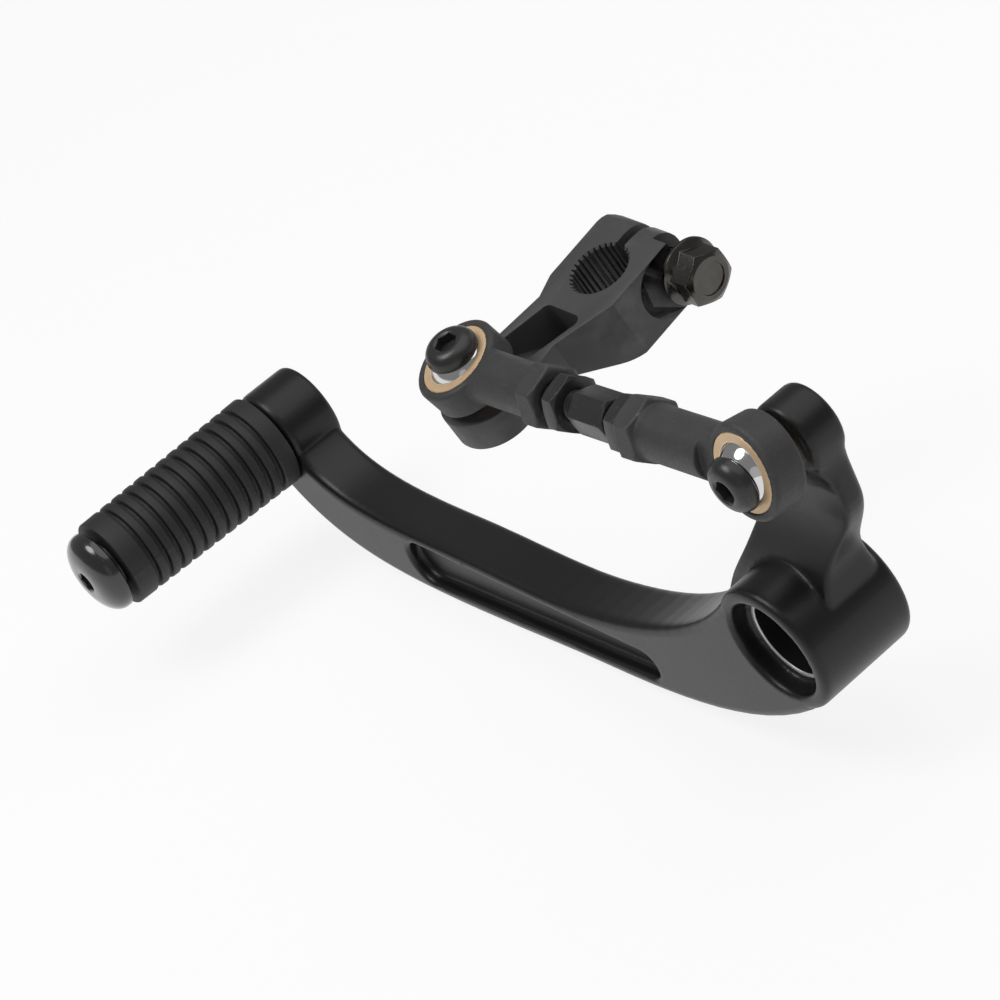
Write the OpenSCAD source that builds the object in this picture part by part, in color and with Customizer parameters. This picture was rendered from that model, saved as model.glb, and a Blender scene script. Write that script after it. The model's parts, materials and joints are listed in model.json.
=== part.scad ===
// Motorcycle gear shift lever with its ball jointed linkage and splined shift arm.
// The lever turns on a bush along Y. Its peg points outward to -Y and lies at -X,
// the upright stands on the pivot boss along +Z, and the origin is the middle of the bush.

/* [Pivot boss] */
// Outer radius of the pivot boss
pivot_boss_r = 13; // [12.5:0.5:15]
// Length of the pivot boss along the pivot axis
pivot_boss_len = 22; // [20:0.5:26]
// Depth of the counterbore at each end of the boss
counterbore_depth = 4.3; // [3:0.1:5]
// Radial width of the step between the bush and the counterbore wall
counterbore_step = 1; // [0.8:0.1:1.5]
// Bore radius of the pivot bush
bush_bore_r = 8; // [6:0.25:8.5]
// Wall of the pivot bush
bush_wall = 1; // [0.8:0.1:1.2]
// Edge chamfer of the bush
bush_chamfer = 0.3; // [0.2:0.1:0.5]

/* [Lever arm] */
// Distance from the pivot axis to the peg axis
lever_len = 164.5; // [150:0.5:180]
// Distance from the peg axis to the lowest part of the bow
bow_x = 54.5; // [50:0.5:60]
// Drop of the bowed arm below the pivot axis
arm_drop = 20.4; // [16:0.2:24]
// Width of the arm along the pivot axis
arm_w = 12; // [10:0.5:15]
// Height of the arm behind the peg
arm_h = 15.6; // [14:0.2:18]
// Height of the arm at its waist
arm_waist_h = 13.4; // [12.5:0.1:15]
// Distance of the waist from the pivot axis
arm_waist_x = 70; // [60:1:80]
// Edge radius of the arm
arm_edge_r = 1.8; // [1:0.1:3]

/* [Arm groove] */
// Distance from the pivot axis to the rear end of the groove
groove_rear_x = 44; // [40:1:55]
// Distance from the peg axis to the front end of the groove
groove_front_gap = 39.5; // [35:0.5:48]
// Height of the groove at its front end
groove_front_h = 10.4; // [8:0.2:11]
// Height of the groove at its rear end
groove_rear_h = 6.6; // [5:0.2:8]
// Depth of the groove
groove_depth = 2.8; // [1.5:0.1:4]
// Radius of the soft groove edges
groove_edge_r = 0.8; // [0.4:0.1:1]

/* [Peg] */
// Radius of the lever boss that carries the peg
peg_boss_r = 10; // [9.5:0.25:12]
// Edge radius of the peg boss
peg_boss_edge_r = 2; // [1:0.1:2.5]
// Length of the rubber
rubber_len = 43.2; // [38:0.2:50]
// Outer radius of the rubber at the lever
rubber_r = 10.7; // [10:0.1:12]
// Outer radius of the rubber at the tip
rubber_tip_r = 10; // [9.4:0.1:11]
// Number of grooves in the rubber
rubber_grooves = 12; // [8:1:14]
// Length of the plain band next to the lever
rubber_inner_band = 3.9; // [3:0.1:6]
// Length of the plain band at the tip
rubber_outer_band = 4.7; // [3:0.1:6]
// Width of one rubber groove
rubber_groove_w = 1.1; // [0.8:0.1:1.5]
// Depth of one rubber groove
rubber_groove_depth = 1.3; // [0.8:0.1:2]
// Edge radius of the rubber ribs
rib_edge_r = 0.4; // [0.2:0.1:0.5]
// Radius of the steel pin in the rubber
pin_r = 5.5; // [5:0.1:6.5]
// Radius of the pin's spigot in the lever
spigot_r = 4; // [3:0.1:4.5]
// Length of the pin's spigot in the lever
spigot_len = 10; // [8:0.5:11]
// Radius of the domed peg screw head
peg_head_r = 9.1; // [8:0.1:9.4]
// Height of the domed peg screw head
peg_head_h = 4.9; // [4:0.1:6]
// Pin length left bare between the rubber and the screw head
peg_head_gap = 1.2; // [0.8:0.1:2]
// Socket size of the peg screw, across flats
peg_socket_af = 4; // [3:0.5:5]

/* [Upright] */
// Height of the lever ball centre above the pivot axis
ball_z = 41.5; // [38:0.5:46]
// Distance of the lever ball centre behind the pivot axis
ball_x = 12.7; // [11:0.1:14]
// Distance of the lever ball centre inside the outer boss face
ball_inset = 5.3; // [4.9:0.1:6]
// Radius of the upper boss
upper_boss_r = 7.2; // [7:0.1:9]
// Length of the upper boss
upper_boss_len = 8; // [7:0.1:9]
// Thickness of the upright at its waist
upright_t = 5.2; // [4.5:0.1:6.5]
// Height at which the upright starts to widen outward to the upper boss
waist_z = 30; // [28:0.5:33]
// Distance of the upright's rear edge from the pivot axis at the waist
waist_rear_x = 18.6; // [17:0.1:20]
// Distance of the upright's rear foot from the pivot axis
foot_rear_x = 11; // [10:0.1:12]
// Distance of the upright's front foot from the pivot axis
foot_front_x = 18.5; // [15:0.1:20]
// Distance of the upright's foot behind the outer boss face
foot_inset = 7.5; // [5:0.1:9]
// Radius of the crease along the upright's outer face
crease_r = 0.7; // [0.4:0.1:1.2]
// Radius of the upright's inner edges
upright_edge_r = 2.2; // [1:0.1:2.5]

/* [Ball joints] */
// Diameter of the balls
ball_d = 12.7; // [12.3:0.1:13]
// Width of the balls across their flats
ball_w = 9; // [8.5:0.1:9.4]
// Running clearance between ball and race, and between ball and screw
ball_gap = 0.05; // [0.03:0.01:0.08]
// Wall of the race beyond the ball
race_wall = 1.05; // [0.8:0.05:1.2]
// Radius of the rod end rings
ring_r = 9; // [8.6:0.1:10]
// Width of the rod end rings
ring_w = 6.75; // [6:0.05:7]
// Edge chamfer of the rings
ring_chamfer = 0.5; // [0.3:0.1:0.7]
// Thread radius of the ball screws and the adjuster
thread_r = 3; // [2.5:0.1:3]
// Clearance around every thread
thread_gap = 0.05; // [0.03:0.01:0.08]
// Head radius of the ball screws
screw_head_r = 5.25; // [4.5:0.05:5.3]
// Head height of the ball screws
screw_head_h = 3.3; // [2.8:0.1:3.6]
// Socket size of the ball screws, across flats
screw_socket_af = 4; // [3:0.5:4]
// Height of the raised land under each ball
land_h = 1.5; // [1.2:0.1:2]
// Radius of the raised land under each ball
land_r = 5.2; // [4:0.1:5.3]

/* [Tie rod] */
// Distance between the two ball centres
tie_len = 88.2; // [84:0.2:100]
// Length of the lever's rod end from its ball centre
lever_shank_len = 33; // [30:0.2:34]
// Length of the arm's rod end from its ball centre
arm_shank_len = 30.2; // [28:0.2:32]
// Radius of a rod end neck
neck_r = 5.1; // [4.2:0.1:5.2]
// Radius around the ball at which the neck is faced off
relief_r = 11; // [10.2:0.1:12]
// Length of a rod end collar
collar_len = 5.1; // [4:0.1:7]
// Size of the collar's hexagon, across flats
collar_af = 11.2; // [10.5:0.1:12]
// Depth of the thread in a rod end
thread_depth = 16; // [12:0.5:17]
// Size of the lock nuts, across flats
nut_af = 10; // [9:0.1:11]
// Height of the lock nuts
nut_h = 3.6; // [3:0.1:5]
// Thread left bare between the arm's rod end and its lock nut
arm_nut_gap = 2.4; // [0:0.1:3]
// Thread left bare beside the adjuster's hexagon at the arm end
arm_neck_gap = 3.2; // [1:0.1:4]
// Thread left bare beside the adjuster's hexagon at the lever end
lever_neck_gap = 2.2; // [0.6:0.1:3]
// Size of the adjuster's hexagon, across flats
adjuster_af = 8; // [7:0.1:9]
// Turn of the nuts about the tie rod, in degrees
nut_turn = 48; // [0:1:60]
// Turn of the adjuster's hexagon about the tie rod, in degrees
adjuster_turn = 12; // [0:1:60]
// Rise of the tie rod towards the lever, in degrees
tie_rise = 2.7; // [-4:0.1:6]
// Turn of the tie rod outward at the lever, in degrees
tie_turn = -0.9; // [-3:0.1:3]
// Lean of the lever's rod end about the tie rod, in degrees
lever_roll = -11.5; // [-12:0.5:12]
// Lean of the arm's rod end about the tie rod, in degrees
arm_roll = -70; // [-74:0.5:-64]

/* [Shift arm] */
// Distance along the arm from the ball to the spline axis
arm_len = 32; // [31:0.2:38]
// Sideways offset of the spline axis from the ball
arm_offset = 2.8; // [0:0.1:4]
// Lean of the arm's face about X, in degrees
arm_lean = 12; // [8:0.5:16]
// Lean of the arm's face about Y, in degrees
arm_tip = 4; // [0:0.5:8]
// Thickness of the arm at the clamp
clamp_t = 14; // [13:0.2:17]
// Thickness of the arm at the ball
toe_t = 6.8; // [6:0.1:8]
// Half width of the clamp
clamp_half_w = 10; // [9.6:0.1:12]
// Radius of the boss under the ball
toe_r = 9; // [8:0.1:9.4]
// Radius over the tips of the spline teeth
spline_tip_r = 5.9; // [5:0.05:6.2]
// Depth of the spline teeth
spline_depth = 0.55; // [0.4:0.05:0.7]
// Number of spline teeth
spline_teeth = 32; // [20:1:36]
// Width of the clamping slit
slit_w = 2.3; // [1.5:0.1:3]
// Distance from the spline axis to the pinch bolt
pinch_y = 9.7; // [9.6:0.1:11]
// Wall beyond the pinch bolt
pinch_wall = 1.3; // [1.1:0.1:3]
// Radius of the rounded clamp end
clamp_end_r = 5; // [3:0.1:6]
// Radius of the spot face for the pinch bolt
spot_r = 6.9; // [6.8:0.05:6.95]
// Distance of the spot face from the slit's middle
spot_x = 6; // [4.5:0.1:7]
// Length by which the spot face's recess runs on beside the spline
recess_run = 4; // [0:0.5:5]
// Depth of that run
recess_run_depth = 2.4; // [1:0.1:2.6]
// Wall around the pocket in the arm
pocket_wall = 3; // [2:0.1:4]
// Floor under the pocket in the arm
pocket_floor = 2.6; // [2:0.1:4]
// Corner radius of the pocket
pocket_r = 1.6; // [1:0.1:2]

/* [Pinch bolt] */
// Length of the bolt under its flange
pinch_len = 18; // [16:0.5:20]
// Bare shank between the spot face and the flange
pinch_proud = 5.6; // [0.5:0.1:6]
// Radius of the flange
flange_r = 6.6; // [6:0.1:6.8]
// Height of the hexagon above the flange
pinch_hex_h = 5.2; // [4:0.1:6]
// Size of the hexagon, across flats
pinch_af = 10; // [8:0.1:10]

/* [Hidden] */
$fn = 64;
eps = 0.01;
fit_gap = 0.02;
seat_gap = 0.05;
arc_steps = 5;
arm_stations = 22;
upright_stations = 26;
groove_points = 12;

outer_y = -pivot_boss_len / 2;
bush_r = bush_bore_r + bush_wall;
bush_len = pivot_boss_len - 2 * counterbore_depth + 2 * bush_chamfer;
counterbore_r = bush_r + counterbore_step;
boss_edge_r = 1.3;

// Lever ball, and the boss that carries it
ball_r = ball_d / 2;
ball_half = ball_w / 2;
ball_y = outer_y + ball_inset;
lever_ball_at = [ball_x, ball_y, ball_z];
boss_face = ball_half + seat_gap + land_h;
upper_boss_y = ball_y + boss_face;
back_y = upper_boss_y + upper_boss_len - 0.15;
screw_hole_r = thread_r + thread_gap;
screw_len = ball_w + 2 * seat_gap + land_h + 5.5;

// Tie rod lengths, measured from the arm's ball
arm_nut_x = arm_shank_len + arm_nut_gap;
lever_nut_x = tie_len - lever_shank_len - nut_h;
hex_x0 = arm_nut_x + nut_h + arm_neck_gap;
hex_x1 = lever_nut_x - lever_neck_gap;
stud_in = thread_depth - 2;

// Shift arm, measured from its ball with the spline axis along Z
face_z = -boss_face;
clamp_end_y = arm_len + pinch_y + thread_r + pinch_wall;
shoulder_y = arm_len - clamp_half_w;
pinch_z = face_z - clamp_t / 2;
spot_face_x = arm_offset + spot_x;
recess_run_x = arm_offset + clamp_half_w - recess_run_depth;

// Smooth change from 0 to 1
function ease(t) = let (u = max(0, min(1, t))) u * u * (3 - 2 * u);

function mix(a, b, t) = a + (b - a) * t;

function bezier(p, t) =
    pow(1 - t, 3) * p[0] + 3 * pow(1 - t, 2) * t * p[1] + 3 * (1 - t) * t * t * p[2] + pow(t, 3) * p[3];

function bezier_slope(p, t) =
    let (d = pow(1 - t, 2) * (p[1] - p[0]) + 2 * (1 - t) * t * (p[2] - p[1]) + t * t * (p[3] - p[2]))
    d / norm(d);

// Outline of a rectangle with round corners, centred on the origin
function round_rect(half_w, half_h, r) = [
    for (corner = [[1, 1, 0], [-1, 1, 90], [-1, -1, 180], [1, -1, 270]], step = [0:arc_steps - 1])
        let (a = corner[2] + 90 * step / (arc_steps - 1))
        [corner[0] * (half_w - r) + r * cos(a), corner[1] * (half_h - r) + r * sin(a)]
];

// Solid through a row of sections that all have the same number of points
module loft(sections) {
    n = len(sections[0]);
    last = len(sections) - 1;
    polyhedron(
        points = [for (section = sections) each section],
        faces = [
            [for (i = [0:n - 1]) i],
            for (s = [0:last - 1], i = [0:n - 1])
                [s * n + i, (s + 1) * n + i, (s + 1) * n + (i + 1) % n, s * n + (i + 1) % n],
            [for (i = [n - 1:-1:0]) last * n + i]
        ],
        convexity = 6
    );
}

// Cylinder along Y from y0 to y1
module along_y(r, y0, y1) {
    translate([0, y1, 0]) rotate([90, 0, 0]) cylinder(r = r, h = y1 - y0);
}

// Cylinder along X from x0 to x1
module along_x(r, x0, x1) {
    translate([x0, 0, 0]) rotate([0, 90, 0]) cylinder(r = r, h = x1 - x0);
}

// Cylinder along Z from 0 to h with a round of radius e0 at its foot and e1 at its top
module round_cylinder(r, h, e0, e1) {
    rotate_extrude()
        polygon([
            [0, 0],
            for (a = [0:15:90]) [r - e0 + e0 * sin(a), e0 - e0 * cos(a)],
            for (a = [0:15:90]) [r - e1 + e1 * cos(a), h - e1 + e1 * sin(a)],
            [0, h]
        ]);
}

// Hexagon along Z whose corners are chamfered at the ends that are named, inset from its flats
module hexagon(af, h, foot = true, top = true, inset = 0.1) {
    corner = af / sqrt(3);
    flat_r = af / 2 - inset;
    bevel = (corner - flat_r) * tan(30);
    intersection() {
        cylinder(r = corner, h = h, $fn = 6);
        union() {
            translate([0, 0, bevel]) cylinder(r = corner + eps, h = h - 2 * bevel);
            cylinder(r1 = foot ? flat_r : corner + eps, r2 = corner + eps, h = bevel);
            translate([0, 0, h - bevel])
                cylinder(r1 = corner + eps, r2 = top ? flat_r : corner + eps, h = bevel);
        }
    }
}

// Domed screw head that stands on Z = 0, with a hexagon socket
module button_head(r, h, socket_af, rim, flat_r, socket_depth) {
    rise = h - rim;
    dome_r = (rise * rise + pow(r - flat_r, 2)) / (2 * rise) + (r - flat_r) * 0.9;
    reach = sqrt(pow(dome_r, 2) - pow(dome_r - rise, 2));
    difference() {
        rotate_extrude()
            polygon([
                [0, 0],
                [r - 0.3, 0],
                [r, 0.3],
                [r, rim],
                for (t = [0.1:0.1:1])
                    let (a = t * asin(reach / dome_r))
                    [r - (r - flat_r) * (1 - cos(90 * t)), rim + rise * sin(90 * t)],
                [0, h]
            ]);
        translate([0, 0, h - socket_depth])
            cylinder(r = socket_af / sqrt(3), h = socket_depth + eps, $fn = 6);
        translate([0, 0, h - 0.3]) cylinder(r1 = socket_af / 2, r2 = socket_af / 2 + 0.6, h = 0.3 + eps);
    }
}

// Places the tie rod's own frame: the arm's ball at the origin and the lever's ball along X
module at_tie_rod() {
    translate(lever_ball_at) rotate([0, -tie_rise, tie_turn]) translate([-tie_len, 0, 0]) children();
}

// Places the shift arm's own frame: its ball at the origin and the spline axis along Z
module at_arm() {
    at_arm_ball() rotate([arm_lean, arm_tip, 0]) children();
}

module at_arm_ball() {
    translate(lever_ball_at)
        translate(-tie_len * [cos(tie_rise) * cos(tie_turn), cos(tie_rise) * sin(tie_turn), sin(tie_rise)])
            children();
}

// Centreline of the bowed arm, from the peg to the pivot
arm_join_x = -lever_len + bow_x;
front_curve = [
    [-lever_len, 0],
    [-lever_len + bow_x * 0.12, -arm_drop * 0.88],
    [-lever_len + bow_x * 0.45, -arm_drop],
    [arm_join_x, -arm_drop]
];
rear_curve = [
    [arm_join_x, -arm_drop],
    [-arm_waist_x, -arm_drop],
    [-arm_waist_x * 0.4, -arm_drop * 1.18],
    [0, 0]
];

// Height of the arm at a distance x along the lever
function arm_height(x) =
    x < -arm_waist_x
        ? mix(arm_h, arm_waist_h, ease((x - arm_join_x) / (-arm_waist_x - arm_join_x)))
        : mix(arm_waist_h, 2 * pivot_boss_r, pow((x + arm_waist_x) / arm_waist_x, 1.4));

function arm_section(curve, t) =
    let (
        c = bezier(curve, t),
        d = bezier_slope(curve, t),
        outline = round_rect(arm_w / 2, arm_height(c[0]) / 2, arm_edge_r)
    )
    [for (p = outline) [c[0] - d[1] * p[1], outer_y + arm_w / 2 + p[0], c[1] + d[0] * p[1]]];

module bowed_arm() {
    loft([
        for (i = [1:arm_stations]) arm_section(front_curve, i / arm_stations),
        for (i = [1:arm_stations - 1]) arm_section(rear_curve, i / arm_stations)
    ]);
}

// Outline of the groove, drawn in by inset
function groove_outline(inset) =
    let (
        front_r = groove_front_h / 2,
        rear_r = groove_rear_h / 2,
        front = [-lever_len + groove_front_gap + front_r, -arm_drop + 0.4],
        rear = [-groove_rear_x - rear_r, -arm_drop - 0.1]
    )
    concat(
        [for (a = [90:180 / groove_points:270]) front + (front_r - inset) * [cos(a), sin(a)]],
        [for (a = [-90:180 / groove_points:90]) rear + (rear_r - inset) * [cos(a), sin(a)]]
    );

function groove_section(y, inset) = [for (p = groove_outline(inset)) [p[0], y, p[1]]];

module groove() {
    floor_y = outer_y + groove_depth;
    loft([
        for (a = [90:-30:0])
            groove_section(floor_y - groove_edge_r * (1 - sin(a)), groove_edge_r * (1 - cos(a))),
        for (a = [90:-30:0])
            groove_section(outer_y + groove_edge_r * (1 - cos(a)), -groove_edge_r * (1 - sin(a))),
        groove_section(outer_y - 1, -groove_edge_r)
    ]);
}

// Soft corner at p between its neighbours a and b, r long on both sides
function soft_corner(a, p, b, r) =
    let (u = (a - p) / norm(a - p), w = (b - p) / norm(b - p))
    [for (t = [0:1 / (arc_steps - 1):1.01]) p + r * (pow(1 - t, 2) * u + t * t * w)];

// Smooth change from 0 to 1 between the heights z0 and z1
function rise(z, z0, z1) = ease((z - z0) / (z1 - z0));

// Upright between the pivot boss and the upper boss, as sections at rising heights
function upright_section(z) =
    let (
        foot_z = pivot_boss_r * 0.46,
        neck_z = ball_z - upper_boss_r * 0.6,
        head = rise(z, waist_z + 4, ball_z),
        web_y = back_y - upright_t,
        rear = mix(foot_rear_x, waist_rear_x, rise(z, foot_z * 1.9, waist_z - 2))
            + (ball_x + upper_boss_r - waist_rear_x) * head,
        front = mix(-foot_front_x, ball_x - upper_boss_r, z / ball_z)
            - 2 * ease(1 - z / (pivot_boss_r * 1.1)),
        outer = mix(outer_y + foot_inset, web_y, rise(z, foot_z, waist_z - 5))
            - (web_y - upper_boss_y - 0.2) * rise(z, waist_z, neck_z),
        inner = mix(-outer_y - 1, back_y, rise(z, foot_z, foot_z * 3)),
        inner_front = mix(outer_y + arm_w - 0.2, back_y, rise(z, foot_z, foot_z * 3.4)),
        a = [rear, inner],
        b = [front, inner_front],
        c = [front, outer],
        d = [rear, outer],
        outline = concat(
            soft_corner(d, a, b, upright_edge_r),
            soft_corner(a, b, c, upright_edge_r),
            soft_corner(b, c, d, crease_r * 2),
            soft_corner(c, d, a, crease_r)
        )
    )
    [for (p = outline) [p[0], p[1], z]];

module upright() {
    loft([for (i = [0:upright_stations]) upright_section(ball_z * i / upright_stations)]);
}

module pivot_boss() {
    translate([0, -outer_y, 0]) rotate([90, 0, 0])
        round_cylinder(pivot_boss_r, pivot_boss_len, boss_edge_r, boss_edge_r);
}

module peg_boss() {
    translate([-lever_len, outer_y + arm_w + 0.5, 0]) rotate([90, 0, 0])
        round_cylinder(peg_boss_r, arm_w + 0.5, 1, peg_boss_edge_r);
}

module upper_boss() {
    translate([ball_x, upper_boss_y + upper_boss_len, ball_z]) rotate([90, 0, 0])
        round_cylinder(upper_boss_r, upper_boss_len, 1, 1.2);
    translate([ball_x, 0, ball_z]) along_y(land_r, upper_boss_y - land_h, upper_boss_y + eps);
}

module lever() {
    color("#26272a") difference() {
        union() {
            bowed_arm();
            upright();
            pivot_boss();
            peg_boss();
            upper_boss();
        }
        groove();
        along_y(bush_r + fit_gap, outer_y - 1, -outer_y + 1);
        for (end = [0, 1]) mirror([0, end, 0]) {
            along_y(counterbore_r, outer_y - 1, outer_y + counterbore_depth);
            translate([0, outer_y - eps, 0]) rotate([-90, 0, 0])
                cylinder(r1 = counterbore_r + 0.6, r2 = counterbore_r, h = 0.6);
        }
        translate([-lever_len, 0, 0])
            along_y(spigot_r + thread_gap, outer_y - 1, outer_y + spigot_len + 0.5);
        translate([ball_x, 0, ball_z])
            along_y(screw_hole_r, upper_boss_y - land_h - 1, upper_boss_y + upper_boss_len + 1);
    }
}

module pivot_bush() {
    color("#b9bcc0") rotate([90, 0, 0]) translate([0, 0, -bush_len / 2]) rotate_extrude()
        polygon([
            [bush_bore_r, 0],
            [bush_r - bush_chamfer, 0],
            [bush_r, bush_chamfer],
            [bush_r, bush_len - bush_chamfer],
            [bush_r - bush_chamfer, bush_len],
            [bush_bore_r, bush_len]
        ]);
}

// Places a piece of the peg on the lever's outer face with its tip along Z
module at_peg() {
    translate([-lever_len, outer_y, 0]) rotate([90, 0, 0]) children();
}

pin_len = rubber_len + seat_gap + peg_head_gap + 0.3;
peg_screw_len = 14;

module peg_pin() {
    color("#6f7276") at_peg() difference() {
        union() {
            translate([0, 0, seat_gap]) cylinder(r = pin_r, h = pin_len);
            translate([0, 0, -spigot_len]) cylinder(r = spigot_r, h = spigot_len + 1);
        }
        translate([0, 0, seat_gap + pin_len - peg_screw_len - 1])
            cylinder(r = screw_hole_r, h = peg_screw_len + 2);
    }
}

// Radius of the rubber at a height z above the lever's face
function rubber_radius(z) = mix(rubber_r, rubber_tip_r, z / rubber_len);

// Side of one rib between two heights, with rounded edges
function rib(z0, z1) = [
    for (a = [-90:30:0]) [rubber_radius(z0) - rib_edge_r * (1 - cos(a)), z0 + rib_edge_r * (1 + sin(a))],
    for (a = [0:30:90]) [rubber_radius(z1) - rib_edge_r * (1 - cos(a)), z1 - rib_edge_r * (1 - sin(a))]
];

module peg_rubber() {
    pitch = (rubber_len - rubber_inner_band - rubber_outer_band - rubber_groove_w) / (rubber_grooves - 1);
    starts = [0, for (i = [0:rubber_grooves - 1]) rubber_inner_band + i * pitch + rubber_groove_w];
    ends = [for (i = [0:rubber_grooves - 1]) rubber_inner_band + i * pitch, rubber_len];
    color("#1d1d1f") at_peg() translate([0, 0, 0.3]) rotate_extrude()
        polygon([
            [pin_r + fit_gap, 0],
            for (i = [0:rubber_grooves]) each concat(
                i == 0 ? [] : [[rubber_radius(starts[i]) - rubber_groove_depth, starts[i]]],
                rib(starts[i], ends[i]),
                i == rubber_grooves ? [] : [[rubber_radius(ends[i]) - rubber_groove_depth, ends[i]]]
            ),
            [pin_r + fit_gap, rubber_len]
        ]);
}

module peg_screw() {
    color("#18181a") at_peg() translate([0, 0, 2 * seat_gap + pin_len]) {
        button_head(peg_head_r, peg_head_h, peg_socket_af, 0.9, peg_socket_af * 0.8, 2.4);
        translate([0, 0, -peg_screw_len]) cylinder(r = thread_r, h = peg_screw_len + eps);
    }
}

// Ball screw with its ball at the origin and its head along Z
module ball_screw() {
    translate([0, 0, ball_half + seat_gap])
        button_head(screw_head_r, screw_head_h, screw_socket_af, 0.7, screw_socket_af * 0.65, 2.1);
    translate([0, 0, ball_half + seat_gap - screw_len]) cylinder(r = thread_r, h = screw_len + eps);
}

module joint_ball() {
    difference() {
        intersection() {
            sphere(r = ball_r);
            cylinder(r = ball_r + 1, h = ball_w, center = true);
        }
        cylinder(r = thread_r + ball_gap, h = ball_w + 2, center = true);
    }
}

module race() {
    difference() {
        cylinder(r = ball_r + race_wall, h = ring_w - 0.2, center = true);
        sphere(r = ball_r + ball_gap);
    }
}

// Rod end with its ball at the origin, its ring's axis along Z and its shank along X
module rod_end(shank_len) {
    difference() {
        union() {
            translate([0, 0, -ring_w / 2]) rotate_extrude()
                polygon([
                    [0, 0],
                    [ring_r - ring_chamfer, 0],
                    [ring_r, ring_chamfer],
                    [ring_r, ring_w - ring_chamfer],
                    [ring_r - ring_chamfer, ring_w],
                    [0, ring_w]
                ]);
            along_x(neck_r, 0, shank_len - 1);
            collar(shank_len);
        }
        for (side = [0, 1]) mirror([0, 0, side])
            translate([0, 0, ring_w / 2]) cylinder(r = relief_r, h = neck_r);
        cylinder(r = ball_r + race_wall + fit_gap, h = ring_w + 1, center = true);
        along_x(thread_r + thread_gap, shank_len - thread_depth, shank_len + 1);
        translate([shank_len - 0.8, 0, 0]) rotate([0, 90, 0])
            cylinder(r1 = thread_r, r2 = thread_r + 0.9, h = 0.8 + eps);
    }
}

// Hexagon collar at the end of a rod end, with two flats parallel to the ring
module collar(shank_len) {
    translate([shank_len - collar_len, 0, 0]) rotate([0, 90, 0]) rotate([0, 0, 30])
        hexagon(collar_af, collar_len);
}

// Turns a rod end's own frame so that its ring's axis leans about the tie rod
module rolled(roll) {
    rotate([roll + 90, 0, 0]) children();
}

// Places the lever's rod end, whose shank points back along the tie rod
module at_lever_end() {
    at_tie_rod() translate([tie_len, 0, 0]) rolled(lever_roll) rotate([0, 0, 180]) children();
}

module at_arm_end() {
    at_tie_rod() rolled(arm_roll) children();
}

// Lock nut on the tie rod, from x along it
module lock_nut(x) {
    at_tie_rod() translate([x, 0, 0]) rotate([nut_turn, 0, 0]) rotate([0, 90, 0]) difference() {
        hexagon(nut_af, nut_h);
        translate([0, 0, -1]) cylinder(r = thread_r + thread_gap, h = nut_h + 2);
    }
}

module lever_ball_screw() {
    color("#1b1b1d") translate(lever_ball_at) rotate([90, 0, 0]) ball_screw();
}

module lever_ball() {
    color("#d5d8dc") translate(lever_ball_at) rotate([90, 0, 0]) joint_ball();
}

module lever_race() {
    color("#b98a55") at_lever_end() race();
}

module lever_rod_end() {
    color("#2b2c2e") at_lever_end() rod_end(lever_shank_len);
}

module lever_lock_nut() {
    color("#303133") lock_nut(lever_nut_x - seat_gap);
}

module adjuster() {
    color("#303133") at_tie_rod() {
        translate([hex_x0, 0, 0]) rotate([adjuster_turn, 0, 0]) rotate([0, 90, 0])
            hexagon(adjuster_af, hex_x1 - hex_x0);
        along_x(thread_r, arm_shank_len - stud_in, tie_len - lever_shank_len + stud_in);
    }
}

module arm_lock_nut() {
    color("#303133") lock_nut(arm_nut_x);
}

module arm_rod_end() {
    color("#2b2c2e") at_arm_end() rod_end(arm_shank_len);
}

module arm_race() {
    color("#b98a55") at_arm_end() race();
}

module arm_ball() {
    color("#d5d8dc") at_arm() joint_ball();
}

module arm_ball_screw() {
    color("#1b1b1d") at_arm() ball_screw();
}

// Outline of the shift arm seen along the spline axis
module arm_plan() {
    corner = 2.2;
    circle(r = toe_r);
    polygon([
        [-toe_r, 0],
        [toe_r * 0.94, 0],
        [arm_offset + 4.6, arm_len - 18],
        [arm_offset + clamp_half_w, shoulder_y + 4],
        [arm_offset + clamp_half_w, clamp_end_y - corner],
        [arm_offset + clamp_half_w - corner, clamp_end_y],
        [arm_offset - clamp_half_w + corner, clamp_end_y],
        [arm_offset - clamp_half_w, clamp_end_y - corner],
        [arm_offset - clamp_half_w, arm_len - 5],
        [arm_offset - clamp_half_w + 1.8, arm_len - 10]
    ]);
}

// Side of the shift arm in its YZ plane, with the rounded clamp end
module arm_side() {
    r = clamp_end_r;
    floor_z = face_z - clamp_t;
    polygon([
        [-toe_r - 1, face_z],
        for (a = [90:-15:0]) [clamp_end_y - r + r * cos(a), face_z - r + r * sin(a)],
        for (a = [0:-15:-90]) [clamp_end_y - r + r * cos(a), floor_z + r + r * sin(a)],
        each soft_corner(
            [clamp_end_y - r, floor_z], [shoulder_y + 1.5, floor_z], [toe_slope_y, face_z - toe_t], 2.4
        ),
        [toe_slope_y, face_z - toe_t],
        [-toe_r - 1, face_z - toe_t]
    ]);
}

toe_slope_y = arm_len - 22.6;

// Teeth around the bore, as grooves between tips that lie on the bore's own cylinder
module spline_bore() {
    root_r = spline_tip_r + spline_depth;
    tip_w = PI * spline_tip_r / spline_teeth;
    top_z = face_z + 1;
    depth = clamp_t + 2;
    translate([arm_offset, arm_len, top_z - depth]) {
        cylinder(r = spline_tip_r, h = depth);
        for (i = [0:spline_teeth - 1]) rotate([0, 0, 360 * i / spline_teeth]) linear_extrude(depth)
            polygon([
                [0, -tip_w / 2], [spline_tip_r, -tip_w / 2], [root_r, -tip_w / 4],
                [root_r, tip_w / 4], [spline_tip_r, tip_w / 2], [0, tip_w / 2]
            ]);
        translate([0, 0, depth - 1.5]) cylinder(r1 = spline_tip_r - 0.05, r2 = root_r + 0.6, h = 1.1 + eps);
        translate([0, 0, depth - 0.4]) cylinder(r = root_r + 0.6, h = 1);
    }
}

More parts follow.
